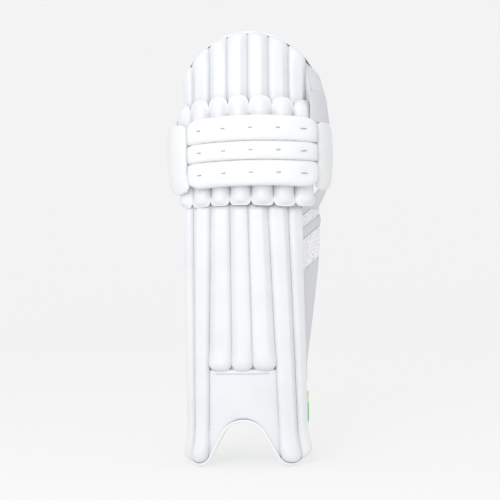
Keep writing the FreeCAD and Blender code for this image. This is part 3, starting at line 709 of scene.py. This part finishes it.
FLAT = [(0, 0), (0, 0.6)] + [(i / 26, 1.0 - 0.35 * abs(2 * i / 26 - 1) ** 12) for i in range(27)]
FLAT += [(1, 0.6), (1, 0)]
FACETS = {number: FACET_LEFT if number < 5 else FACET_RIGHT for number in range(1, 8)}
under_flap = lambda z: 1 - 0.34 * min(max((z - 426) / 7, 0.0), 1.0)
for number in range(1, 8):
    i = number - 1
    middle_roll = number in (3, 4, 5)
    share = 158 / 439 if middle_roll else 0.0
    left = (mix(FOOT_SEAMS[i], SHIN_SEAMS[i], share), SHIN_SEAMS[i])
    right = (mix(FOOT_SEAMS[i + 1], SHIN_SEAMS[i + 1], share), SHIN_SEAMS[i + 1])
    if middle_roll:
        low = lambda along: 159.0
        shape = {"ends": (18, 7), "narrow": (0.35, 0.9), "plump": ((46, 0.3), (0, 0))}
    else:
        low = on(SHIN, lambda x, y: bottom_height(x) + EDGE_GAP)
        shape = {"ends": (16, 7), "narrow": (0.66, 0.9), "plump": ((56, 0.45), (0, 0))}
    piece = roll(f"shin_leather_roll_{number}", SHIN, left, right, low, lambda along: 439.3,
                 (0.8, 16.4), FACETS[number], stand, [FACE], "shin", crown_at=under_flap,
                 replaces=[f"shin_roll_{number}"], **shape)

panel = roll("instep_leather_panel", SHIN, (-60, -57), (60, 57),
             on(SHIN, lambda x, y: bottom_height(x) + EDGE_GAP, 6), lambda along: 162.5, (0.8, 7.5),
             FLAT, stand, [PANEL], "shin", ends=(4, 5), puff=0.1, replaces=["instep_panel"])

binding = edge_strip("foot_binding", SHIN, (-99.4, 111.2), bottom_height, (13, -26), 5.0, stand,
                     BINDING, "shin", ["bottom_binding"])
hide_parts("shin_face_cover")

seam_lines = []
for i in range(1, 7):
    start = 170 if i in (3, 4) else 60
    line = []
    for step in range(30):
        z = mix(start, 424, step / 29)
        along = mix(FOOT_SEAMS[i], SHIN_SEAMS[i], z / 430)
        line.append((*SHIN.at(along, 6.6), z))
    seam_lines.append(line)
stitches("shin_stitches", seam_lines, THREAD, "shin", radius=0.6)
stitches("panel_stitches", [[(*SHIN.at(mix(-45, 45, k / 30), 8.4), 154.5) for k in range(31)]], THREAD, "shin",
         pitch=4.6, size=3.0, radius=0.4)

cushion_rows = (("calf_bolster_medial", (-19.5, -8), (150, 420)), ("calf_bolster_lateral", (8, 19.5), (150, 420)),
                ("ankle_pad", (-19, 19), (44, 128)))
over_arch = on(SHIN, lambda x, y: max(44, bottom_height(x) + 6 - 11 * math.exp(-((x - 33) / 10) ** 2)), -30)
for cad_name, degrees, heights in cushion_rows:
    a, b = (SHIN.length(d) for d in degrees)
    ankle = cad_name == "ankle_pad"
    piece = roll(f"{cad_name}_cover", SHIN, (a, a), (b, b), over_arch if ankle else lambda s: heights[0],
                 lambda s: heights[1], (-26.4, -39.0), FLAT if ankle else ROUND, stand, [CUSHION], "shin",
                 ends=(9, 9), replaces=[cad_name])

# ---------------------------------------------------------------- knee section

KNEE_SPAN = (KNEE.length(-80) + 0.4, KNEE.length(80) - 0.4)
knee_low = lambda x, y: wedge(y, 443.8, 15)
shell = slab("knee_shell", KNEE, KNEE_SPAN, knee_low, lambda x, y: 587.3, (-25.8, 0.4), stand,
             [FACE, BINDING, LINING], "knee", ["knee_board", "knee_sponge", "knee_lining"], quilt=2.0,
             rows=18)

under_low = on(KNEE, lambda x, y: wedge(y, 434.5 - 3.4 * min(abs(x + 5) / 75, 1.0) ** 2, 15), 14)
under_high = lambda along: 616 - 12 * ((along + 5) / 112) ** 2


def behind(z):
    """Rise of the back of the rolls under the knee bolsters: out in front of the shin and top rolls."""
    if z < 450:
        return 17.2 - 16.4 * min(max((z - 446) / 4, 0.0), 1.0)
    return 0.8 + 16.4 * min(max((z - 580) / 8, 0.0), 1.0)


for number in range(1, 8):
    i = number - 1
    sides = (KNEE_SEAMS[i], KNEE_SEAMS[i]), (KNEE_SEAMS[i + 1], KNEE_SEAMS[i + 1])
    piece = roll(f"knee_under_roll_{number}", KNEE, *sides, under_low, under_high, (0.8, 23.2), ROUND, stand,
                 [FACE], "knee", ends=(10, 17), narrow=(0.5, 0.2), back_at=behind,
                 replaces=["knee_foam_rolls"] if number == 1 else ())
    if number == 2:
        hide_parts("knee_under_cover")

PANEL_SPAN = (KNEE.length(-30), KNEE.length(47))
MIDDLE = (PANEL_SPAN[0] + PANEL_SPAN[1]) / 2
bow = lambda along: 1.8 - 4.2 * ((along - MIDDLE) / 90) ** 2
tacks = [mix(*PANEL_SPAN, share) for share in (0.115, 0.305, 0.51, 0.715, 0.9)]
levels = (("lower", 464, 41.6, (15, 2)), ("middle", 506, 30.6, (2, 2)), ("upper", 537, 41.5, (2, 15)))
tack_lines = []
for name, bottom, height, corners in levels:
    z_mid = bottom + height / 2
    piece = bolster(f"knee_leather_{name}", KNEE, PANEL_SPAN, z_mid, height + 2.2, (23.6, 46.0), [KNEE_FACE],
                    "knee", tacks, replaces=[f"knee_bolster_{name}"], bow=bow, corners=corners, power=3.2)

    def sewn(p):
        near = min(math.hypot(p.x - KNEE.at(t, 44)[0], p.z - z_mid - bow(t)) for t in tacks)
        return near < 4.0 or abs(p.z - z_mid - bow(p.x - 14)) > height / 2 - 2.5

    fill(piece, 2.2, sewn)
    for t in tacks:
        tilt = rng.uniform(-0.4, 0.4)
        tack_lines.append([(*KNEE.at(t + d, 44.9), z_mid + bow(t) + tilt * d / 4) for d in (-3.2, -1, 1, 3.2)])
stitches("knee_tacks", tack_lines, DARK_THREAD, "knee", pitch=3.6, size=2.6, radius=0.7)
knee_seams = []
for level in (505.8, 536.8):
    stops = [mix(PANEL_SPAN[0] + 4, PANEL_SPAN[1] - 4, k / 60) for k in range(61)]
    knee_seams.append([(*KNEE.at(t, 38.5), level + bow(t)) for t in stops])
stitches("knee_seam_stitches", knee_seams, THREAD, "knee", pitch=4.6, size=3.2, radius=0.7)

wraps = (("medial", -100, -30.2, 37, (26, 22), (10, 10)), ("lateral", 47.2, 100, 34.5, (10, 10), (26, 22)))
for name, start, end, outer, corners, far_corners in wraps:
    span = (KNEE.length(start), KNEE.length(end))
    piece = bolster(f"knee_leather_wrap_{name}", KNEE, span, 513.5, 121, (23.8, outer), [KNEE_FACE], "knee",
                    power=3.2, around=40, end=9, corners=corners, far_corners=far_corners, taper=9, hold=0.8,
                    replaces=[f"knee_wrap_{name}"])
    fill(piece, 1.6)

for name, bottom in (("lower", 476), ("upper", 548)):
    span = (KNEE.length(-21.5), KNEE.length(21.5))
    piece = bolster(f"knee_cup_cover_{name}", KNEE, span, bottom + 11, 22, (-39, -26.4), [CUSHION], "knee",
                    replaces=[f"knee_cup_{name}"], end=8)

# ---------------------------------------------------------------- top section

TOP_SEAMS = [-112, -91, -60, -29, 5, 38, 71, 100]
top_low = lambda x, y: wedge(y, 592.3, 23)
top_high = lambda x, y: max(dome_height(x) - 2.2, 610)
# The top shell and top rolls take the top leather, whose darker colour is painted shade.
shell = slab("top_shell", KNEE, (KNEE.length(-74), KNEE.length(79)), top_low, top_high, (-25.8, 0.4), lean,
             [TOP_FACE_PAINTED_SHADE, BINDING, LINING], "top", ["top_board", "top_sponge", "top_lining"], quilt=2.0)
roll_low = on(KNEE, top_low)
roll_high = on(KNEE, lambda x, y: dome_height(x) - 0.6)
for number in range(1, 8):
    i = number - 1
    sides = (TOP_SEAMS[i], TOP_SEAMS[i]), (TOP_SEAMS[i + 1], TOP_SEAMS[i + 1])
    piece = roll(f"top_leather_roll_{number}", KNEE, *sides, roll_low, roll_high, (0.8, 14.6),
                 FACET_LEFT if number < 4 else FACET_RIGHT, lean, [TOP_FACE_PAINTED_SHADE], "top", ends=(5, 12),
                 narrow=(0.9, 0.62), plump=((0, 0), (34, 0.22)),
                 replaces=["top_foam_rolls"] if number == 1 else ())
side_high = on(KNEE, lambda x, y: dome_height(x) - 0.8, 5)
SIDE = [(0, 0), (0, 0.35), (0.08, 0.5), (0.16, 0.56), (0.2, 0.5), (0.26, 0.62), (0.6, 0.86), (0.9, 1.0), (0.98, 0.9),
        (1, 0.6), (1, 0)]
wing_roll = roll("top_wing_panel", KNEE, (99.5, 99.5), (129, 129), roll_low, side_high, (0.8, 33),
                 SIDE, lean, [WING_FACE], "top", ends=(5, 10), narrow=(0.95, 0.9), puff=0.1,
                 crown_at=lambda z: 0.3 + 0.7 * min(max((684 - z) / 78, 0.0), 1.0),
                 replaces=["top_cover"])
rim = edge_strip("dome_binding", KNEE, (KNEE.length(-72), KNEE.length(79.5)), dome_height, (8, -26), 5.0,
                 lean, BINDING, "top", ["top_binding"], up=-1)
top_seams = []
for i in range(1, 7):
    line = []
    for k in range(24):
        z = mix(618, dome_height(KNEE.at(TOP_SEAMS[i], 5)[0]) - 14, k / 23)
        line.append(lean((*KNEE.at(TOP_SEAMS[i], 5.6), z)))
    top_seams.append(line)
stitches("top_stitches", top_seams, THREAD, "top", radius=0.55)

# ---------------------------------------------------------------- side wing and edge flaps

FLARE = math.radians(23)
WING_REAR = [(134, -15), (165, -15), (210, -1), (285, 22), (372, 46.6), (434, 46.6)]
WING_LOW, WING_TOP = 134.6, 433.5


def rear_at(z):
    """How far back the outer wing reaches at a height."""
    for (z0, y0), (z1, y1) in zip(WING_REAR, WING_REAR[1:]):
        if z <= z1:
            return mix(y0, y1, (z - z0) / (z1 - z0))
    return WING_REAR[-1][1]


def wing_point(q, z, out):
    """A point on the outer wing: q along the flare from its root, out from its outer face."""
    return (99 + math.sin(FLARE) * q + math.cos(FLARE) * out, -30 + math.cos(FLARE) * q - math.sin(FLARE) * out, z)


def wing_zones(share, z):
    """Material of a wing cell: 0 leather, 1 binding, 2 mesh."""
    slant = z - share * 30
    return 2 if 392 < slant < 414 or 318 < slant < 373 else 0


def outer_wing():
    rows, cols = 124, 16
    z_of = [mix(WING_LOW, WING_TOP, j / rows) for j in range(rows + 1)]

    def sheet(outward):
        lines = []
        for j, z in enumerate(z_of):
            reach = (rear_at(z) + 30) / math.cos(FLARE) - 0.8
            line = []
            for i in range(cols + 1):
                share = i / cols
                q = mix(-3.0, reach, share)
                rim = end_shape(min(reach - q, z - WING_LOW, WING_TOP - z), 4.0)
                slant = z - share * 30
                puff = 0.0
                if 373 <= slant <= 392:
                    puff = 2.4 * math.sin(math.pi * (slant - 373) / 19) ** 0.7
                elif slant < 318:
                    puff = 1.6 * end_shape(318 - slant, 10) * end_shape(q - 7, 7)
                    puff -= 1.2 * math.exp(-((q - 6) / 2.2) ** 2)
                elif slant > 414:
                    puff = 1.6 * end_shape(slant - 414, 6)
                out = mix(-3.5, 0.0 if outward else -7.0, mix(0.3, 1.0, rim))
                line.append(wing_point(q, z, out + (puff - 1.4 if outward else 0.0)))
            lines.append(line)
        return lines

    front, back = sheet(True), sheet(False)
    sections = [f + b[::-1] for f, b in zip(front, back)]
    verts, faces = loft(sections)
    n = len(sections[0])
    slots = []
    for j in range(rows):
        for k in range(n):
            column = k if k <= cols else n - 1 - k
            edge = k in (cols - 1, cols, cols + 1)
            zone = wing_zones(min(column / cols, 1.0), (z_of[j] + z_of[j + 1]) / 2)
            slots.append(1 if edge else (zone if k < cols else (3 if k > cols else 1)))
    slots += [1, 1]
    piece = make("wing_cover", verts, faces, [WING_FACE, BINDING, MESH, LINING], "shin", ["outer_wing"], slots)


outer_wing()

wing_seams = []
for level in (318, 373, 392, 414):
    line = []
    for k in range(24):
        share = mix(0.04, 0.93, k / 23)
        z = level + share * 30
        if z > WING_TOP - 3:
            break
        reach = (rear_at(z) + 30) / math.cos(FLARE)
        line.append(wing_point(share * reach, z, -0.9))
    wing_seams.append(line)
stitches("wing_stitches", wing_seams, THREAD, "shin")


def straight(start, end):
    return Path().line(start, end)


flaps = (("inner_edge_leather", "inner_edge_flap", "shin", (-92, -41), (-92, -11.2), (52, 426)),
         ("outer_edge_leather", "outer_edge_flap", "shin", (98.6, -31), (98.6, -12.2), (50, 120)),
         ("knee_inner_leather", "knee_flap_inner", "knee", (-110, -28), (-110, 13.8), (500, 584)),
         ("knee_outer_leather", "knee_flap_outer", "knee", (140, -25), (140, 15.8), (500, 584)))
for name, cad_name, body, start, end, heights in flaps:
    path = straight(start, end)
    piece = band(name, path, (0, path.length), (-1.6, 1.6), heights, 24, [FACE], body, [cad_name])

def sheet_between(name, lower, upper, thickness, materials, rows=12, sag=0.0):
    """A thin sheet from one line of points to another, between the two sections it joins, with an optional outward
    sag.
    """
    lines = []
    for k in range(rows + 1):
        v = k / rows
        line = []
        for p, q in zip(lower, upper):
            point = Vector(p).lerp(Vector(q), v)
            away = Vector((point.x, point.y, 0)).normalized()
            line.append(point + away * sag * math.sin(math.pi * v))
        lines.append(line)
    count = len(lower)
    back = []
    for line in lines:
        inner = []
        for j, point in enumerate(line):
            run = line[min(j + 1, count - 1)] - line[max(j - 1, 0)]
            inner.append(point - Vector((run.y, -run.x, 0)).normalized() * thickness)
        back.append(inner)
    sections = [[tuple(c) for c in front + inner[::-1]] for front, inner in zip(lines, back)]
    piece = refine(make(name, *loft(sections), materials, None), 1)
    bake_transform(piece)
    return piece


def plan_line(plan, degrees, rise, z, count=40, place=stand):
    """Points along a plan curve between two angles, at one rise and height."""
    ends = [plan.length(d) for d in degrees]
    return [place((*plan.at(mix(*ends, k / count), rise), z)) for k in range(count + 1)]


# The lining runs on over both flex lines, and soft leather joins the wing to the knee wrap.
sheet_between("knee_flex_gusset", plan_line(SHIN, (-60, 66), -24.5, 432), plan_line(KNEE, (-60, 66), -24.5, 466),
              1.2, [LINING])
sheet_between("top_flex_gusset", plan_line(KNEE, (-60, 66), -24.5, 580),
              plan_line(KNEE, (-60, 66), -24.5, 612, place=lean), 1.2, [LINING])
WING_LINE = [tuple(wing_point(mix(3, 70, k / 24), 427, -2.4)) for k in range(25)]
WRAP_LINE = plan_line(KNEE, (62, 96), 26, 466, 24)
sheet_between("side_gusset", WING_LINE, WRAP_LINE, 1.6, [WING_FACE],
              sag=1.5)

sheet_between("top_side_gusset", plan_line(KNEE, (39, 98), 31, 568, 24),
              plan_line(KNEE, (41, 77), 27, 624, 24, place=lean), 1.6, [WING_FACE],
              sag=1.0)

# ---------------------------------------------------------------- straps, rings and tabs

STRAP, PATCH, FOLD = 2.6, 2.0, 3.5
STRIPES = {"ankle": (50, 60), "calf": (48, 262), "knee": (38, 538)}


def round_the_leg(x, rear, back, corner, corner2, lateral, stop, leave=None):
    """The path of a closed strap from its ring to the flap it is sewn to, or to the wing's inner face."""
    x += FOLD
    turn_y, bend = stop, 25.0
    if leave is not None:
        depth = 7 + 0.3 + STRAP / 2
        lateral = 99 + (leave + 30) * math.tan(FLARE) - depth / math.cos(FLARE)
        setback = bend * math.tan(FLARE / 2)
        turn_y = leave + setback
    path = Path()
    path.line((x, rear), (x, back - corner))
    path.arc((x, back - corner), (0, 1), corner, -90)
    path.line((x + corner, back), (lateral - corner2, back))
    path.arc((lateral - corner2, back), (1, 0), corner2, -90)
    path.line((lateral, back - corner2), (lateral, turn_y))
    if leave is not None:
        down = (-math.sin(FLARE), -math.cos(FLARE))
        path.arc((lateral, turn_y), (0, -1), bend, -math.degrees(FLARE))
        start = (lateral + down[0] * setback, leave + down[1] * setback)
        sewn = (leave - stop) / math.cos(FLARE) - setback
        path.line(start, (start[0] + down[0] * sewn, start[1] + down[1] * sewn))
    return path


def strap_set(name, body, x, front, path):
    width, z = STRIPES[name]
    rear = front + 15
    top = z + width
    fold = Path()
    fold.arc((x - FOLD, rear), (0, -1), FOLD, 180)
    fold.runs += [(r[0] + fold.length,) + r[1:] for r in path.runs]
    total = fold.length + path.length
    rows = 24
    stripe = []
    for j in range(rows):
        level = (j + 0.5) / rows
        stripe.append(2 if 0.02 < level < 0.67 else (1 if 0.79 < level < 0.985 else 0))
    webs = [WHITE_WEB, LIME_WEB, GREEN_WEB]
    main = band(f"{name}_strap_band", fold, (0, total), (-STRAP / 2, STRAP / 2 - 0.3), (z, top), rows, webs, body,
                [f"{name}_strap"], stripe)
    out = 2 * FOLD
    end = band(f"{name}_strap_tongue", path, (0.4, 96), (out - STRAP / 2, out + STRAP / 2), (z, top), rows, webs,
               f"{name}_flap", [f"{name}_strap_end"], stripe)
    loop = band(f"{name}_loops", path, (22, 108), (STRAP / 2 + 0.05, STRAP / 2 + PATCH), (z + 2, top - 2), 12,
                [LOOPS], body, [f"{name}_loop_patch"])
    hooks = band(f"{name}_hooks", path, (22, 92), (STRAP / 2 + PATCH + 0.4, out - STRAP / 2), (z + 2, top - 2), 12,
                 [HOOKS], f"{name}_flap", [f"{name}_hook_patch"])
    tab = Path()
    tab.line((x - 2.7, front - 21), (x - 2.7, front))
    tab.arc((x - 2.7, front), (0, 1), 2.7, -180)
    tab.line((x + 2.7, front), (x + 2.7, front - 21))
    loop_tab = band(f"{name}_tab", tab, (0, tab.length), (-0.8, 0.8), (z + 0.5, top - 0.5), 16, [WHITE_WEB], body,
                    [f"{name}_ring_tab"], step=1.2)
    lines = []
    for s in (14, 90):
        lines.append([(*path.at(s, out + STRAP / 2 + 0.1), mix(z + 3, top - 3, k / 10)) for k in range(11)])
    for level in (z + 2.2, top - 2.2):
        lines.append([(*path.at(mix(14, 90, k / 30), out + STRAP / 2 + 0.1), level) for k in range(31)])
    stitches(f"{name}_tongue_stitches", lines, THREAD, f"{name}_flap", pitch=4, size=2.6, radius=0.35)


strap_set("ankle", "shin", -92, -5, round_the_leg(-92, 10, 64, 42, 30, 101.9, -29))
strap_set("calf", "shin", -92, -5, round_the_leg(-92, 10, 64, 42, 30, None, -11, leave=27))
strap_set("knee", "knee", -110, 20, round_the_leg(-110, 35, 84, 46, 46, 136.6, -8))

for group, numbers, heights in (("side", (1, 2, 6, 7), (44, 424)), ("middle", (3, 4, 5), (168, 424))):
    parts = []
    for number in numbers:
        line = []
        for k in range(9):
            z = mix(*heights, k / 8)
            spots = [mix(FOOT_SEAMS[i], SHIN_SEAMS[i], z / 439) for i in (number - 1, number)]
            line.append((*SHIN.at(sum(spots) / 2, 7.2), z))
        parts.append(tube(line, 4, 12))
    piece = make(f"canes_{group}", *join_parts(parts), [CANE], "shin", [f"shin_canes_{group}"])

for name in ("ankle_ring", "calf_ring", "knee_ring"):
    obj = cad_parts[name]
    obj.data.materials.clear()
    obj.data.materials.append(STEEL)

# ---------------------------------------------------------------- studio and camera


def studio():
    """A pale round room that glows softly, and one large lamp in front."""
    paper, tree, bsdf, coords = shader("paper", (0.30, 0.30, 0.30), 0.9)
    bsdf.inputs["Emission Color"].default_value = (1, 1, 1, 1)
    bsdf.inputs["Emission Strength"].default_value = 0.62
    bsdf.inputs["Specular IOR Level"].default_value = 0.0
    paper.cycles.emission_sampling = "NONE"
    texture = node(tree, "ShaderNodeTexNoise", Scale=3, Detail=4)
    tree.links.new(coords, texture.inputs["Vector"])
    bump(tree, bsdf, texture.outputs["Fac"], 0.02, 0.001)
    radius, sweep, sides = 4500, 1500, 96
    profile = [(1, -2), (1200, -2), (radius - sweep, -2)]
    profile += [(radius - sweep + sweep * math.sin(a), sweep - 2 - sweep * math.cos(a)) for a in
                (math.radians(k * 7.5) for k in range(1, 13))]
    profile += [(radius, 5000), (radius - 1500, 6000), (1, 6200)]
    sections = []
    for k in range(sides + 1):
        a = 2 * math.pi * k / sides
        sections.append([(r * math.cos(a), r * math.sin(a), z) for r, z in profile])
    verts, faces = loft(sections, closed=False)
    make("studio_room", verts, faces, [paper], None)
    world = bpy.data.worlds.new("studio")
    bpy.context.scene.world = world
    world.use_nodes = True
    world.node_tree.nodes["Background"].inputs["Color"].default_value = (1, 1, 1, 1)
    world.node_tree.nodes["Background"].inputs["Strength"].default_value = 0.9
    lights = (("key", (-0.3, -1.8, 1.15), 1.0, 14), ("top", (-0.3, -0.4, 2.6), 1.2, 2))
    for name, place, size, power in lights:
        data = bpy.data.lights.new(name, "AREA")
        data.size, data.energy = size, power
        lamp = bpy.data.objects.new(name, data)
        bpy.context.scene.collection.objects.link(lamp)
        lamp.location = place
        lamp.visible_camera = False
        lamp.rotation_euler = (Vector((0, 0, 0.55)) - Vector(place)).to_track_quat("-Z", "Y").to_euler()


def camera():
    """Looks at the front from a little to the outer side, slightly below the knee."""
    yaw, roll_angle, distance = math.radians(6), math.radians(1.2), 2.0
    data = bpy.data.cameras.new("camera")
    data.sensor_width = 36
    data.lens = 36 * (distance - 0.08) / 0.83
    cam = bpy.data.objects.new("camera", data)
    bpy.context.scene.collection.objects.link(cam)
    aim = Vector((0.0086, 0.0, 0.36))
    back = Vector((math.sin(yaw), -math.cos(yaw), 0))
    cam.location = aim + back * distance
    turn = (-back).to_track_quat("-Z", "Y").to_matrix() @ Matrix.Rotation(roll_angle, 3, "Z").inverted()
    cam.rotation_euler = turn.to_euler()
    bpy.context.scene.camera = cam


studio()
camera()
view_settings = bpy.context.scene.view_settings
view_settings.view_transform = "Standard"
